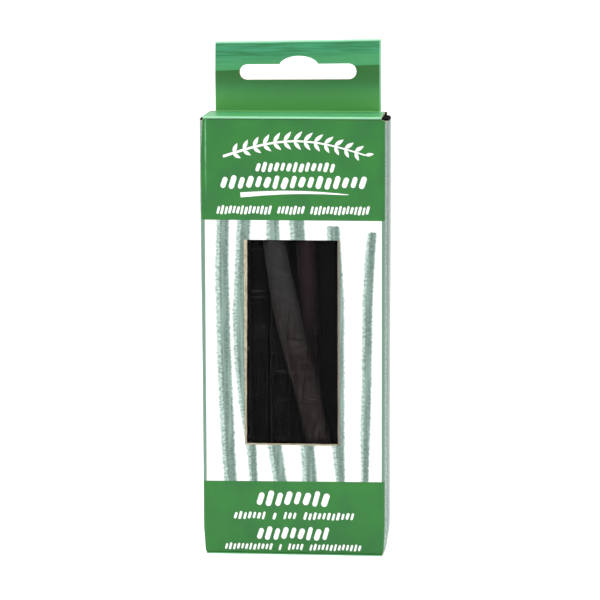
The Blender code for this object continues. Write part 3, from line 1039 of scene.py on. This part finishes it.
def ink_piece(name, outlines):
    """Flat shapes of ink on the front: each outline is a ring of (x, z) points in mm."""
    shape = bmesh.new()
    for outline in outlines:
        face = shape.faces.new([shape.verts.new((x * mm, front_y - ink_rise, z * mm)) for x, z in outline])
        pushed = bmesh.ops.extrude_face_region(shape, geom=[face])["geom"]
        bmesh.ops.translate(shape, vec=(0, 1.5 * ink_rise, 0), verts=corners_in(pushed))
    bmesh.ops.recalc_face_normals(shape, faces=shape.faces)
    bmesh.ops.triangulate(shape, faces=[f for f in shape.faces if len(f.verts) > 4])
    mark = piece_from(shape, name, [ink])
    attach(mark, "carton")
    print(name, "shapes:", len(outlines))


def hatch(middle, low, high, width, slant):
    """One short stroke with round ends, leaning to the right going up."""
    lean, radius = slant * (high - low) / 2, width / 2
    return (arc_points(middle + lean, high - radius, radius, -10, 170, 6)
            + arc_points(middle - lean, low + radius, radius, 170, 350, 6))


def hatched_line(left, right, low, high, words, space=1.3, cover=0.6):
    """Groups of strokes. words lists how many are in each; cover is a stroke's share of its pitch."""
    pitch = (right - left) / (sum(words) + space * (len(words) - 1) - 1 + cover)
    strokes, place, slant, uneven = [], left + cover * pitch / 2, 0.18, 0.07 * (high - low)
    for count in words:
        for _ in range(count):
            drawn = len(strokes)            # three sine waves keep neighbours unalike
            strokes.append(hatch(place, low + uneven * (1 + math.sin(5.1 * drawn)),
                                 high - uneven * (1 + math.sin(3.7 * drawn + 1)),
                                 cover * pitch * (1 + 0.12 * math.sin(2.9 * drawn)), slant))
            place += pitch
        place += pitch * space
    return strokes


def leaf(x, z, direction, length, width):
    """A willow leaf: a long pointed lens that leaves the stem at `direction` degrees."""
    points = [(step * length, side * width / 2 * math.sin(math.pi * step ** 0.8))
              for side, steps in ((1, rows_between(0, 1, 8)), (-1, rows_between(1, 0, 8)))
              for step in steps[:-1]]
    c, s = math.cos(math.radians(direction)), math.sin(math.radians(direction))
    return [(x + u * c - v * s, z + u * s + v * c) for u, v in points]


def ribbon(centre_line, widths):
    """A stroke of changing width along a line of points."""
    upper, lower = [], []
    for i, (x, z) in enumerate(centre_line):
        ahead, behind = centre_line[min(i + 1, len(centre_line) - 1)], centre_line[max(i - 1, 0)]
        along = Vector((ahead[0] - behind[0], ahead[1] - behind[1])).normalized()
        upper.append((x - along.y * widths[i] / 2, z + along.x * widths[i] / 2))
        lower.append((x + along.y * widths[i] / 2, z - along.x * widths[i] / 2))
    return upper + lower[::-1]


# %% Print the marks
def sprig():
    """An arched stem with paired leaves that fills the badge's place."""
    left, right, foot, rise, tilt, steps = -20.2, 20.8, 117.0, 4.2, 0.6, 28
    stem = [(left + (right - left) * t, foot + rise * math.sin(math.pi * t) + tilt * t)
            for t in rows_between(0, 1, steps)]
    shapes = [ribbon(stem, [0.75 - 0.35 * i / steps for i in range(steps + 1)])]
    for i in range(2, steps, 2):
        (x, z), (next_x, next_z) = stem[i], stem[i + 1]
        heading = math.degrees(math.atan2(next_z - z, next_x - x))
        size = 3.6 - 0.05 * abs(i - steps / 2)
        shapes.append(leaf(x, z + 0.2, heading + 48, size, 1.15))
        shapes.append(leaf(x, z - 0.2, heading - 48, size * 0.85, 1.05))
    return shapes + [leaf(*stem[-1], 8, 2.6, 1.0)]


ink_piece("ink_sprig", sprig())
ink_piece("ink_title", hatched_line(-10.6, 11.9, 112.5, 115.5, (13,))
          + hatched_line(-20.7, 20.9, 107.6, 111.6, (17,)))
shares = rows_between(0, 1, 24)
sweep_line = [(-15.2 + 31.2 * t, 105.9 + 0.7 * math.sin(math.pi * t) + 0.25 * t) for t in shares]
ink_piece("ink_sweep", [ribbon(sweep_line, [1.3 * (1 - t) ** 0.7 + 0.15 for t in shares])])
ink_piece("ink_upper_line", hatched_line(-22.0, 21.9, 100.2, 102.9, (14, 7, 15)))
ink_piece("ink_kind", hatched_line(-10.6, 10.0, 14.5, 19.2, (8,)) + hatched_line(-10.6, 10.0, 4.4, 8.5, (9,)))
ink_piece("ink_details", hatched_line(-17.5, 17.4, 10.5, 12.9, (7, 1, 3, 11), cover=0.55)
          + hatched_line(-20.2, 19.5, 1.4, 3.5, (12, 1, 4, 13), cover=0.55))
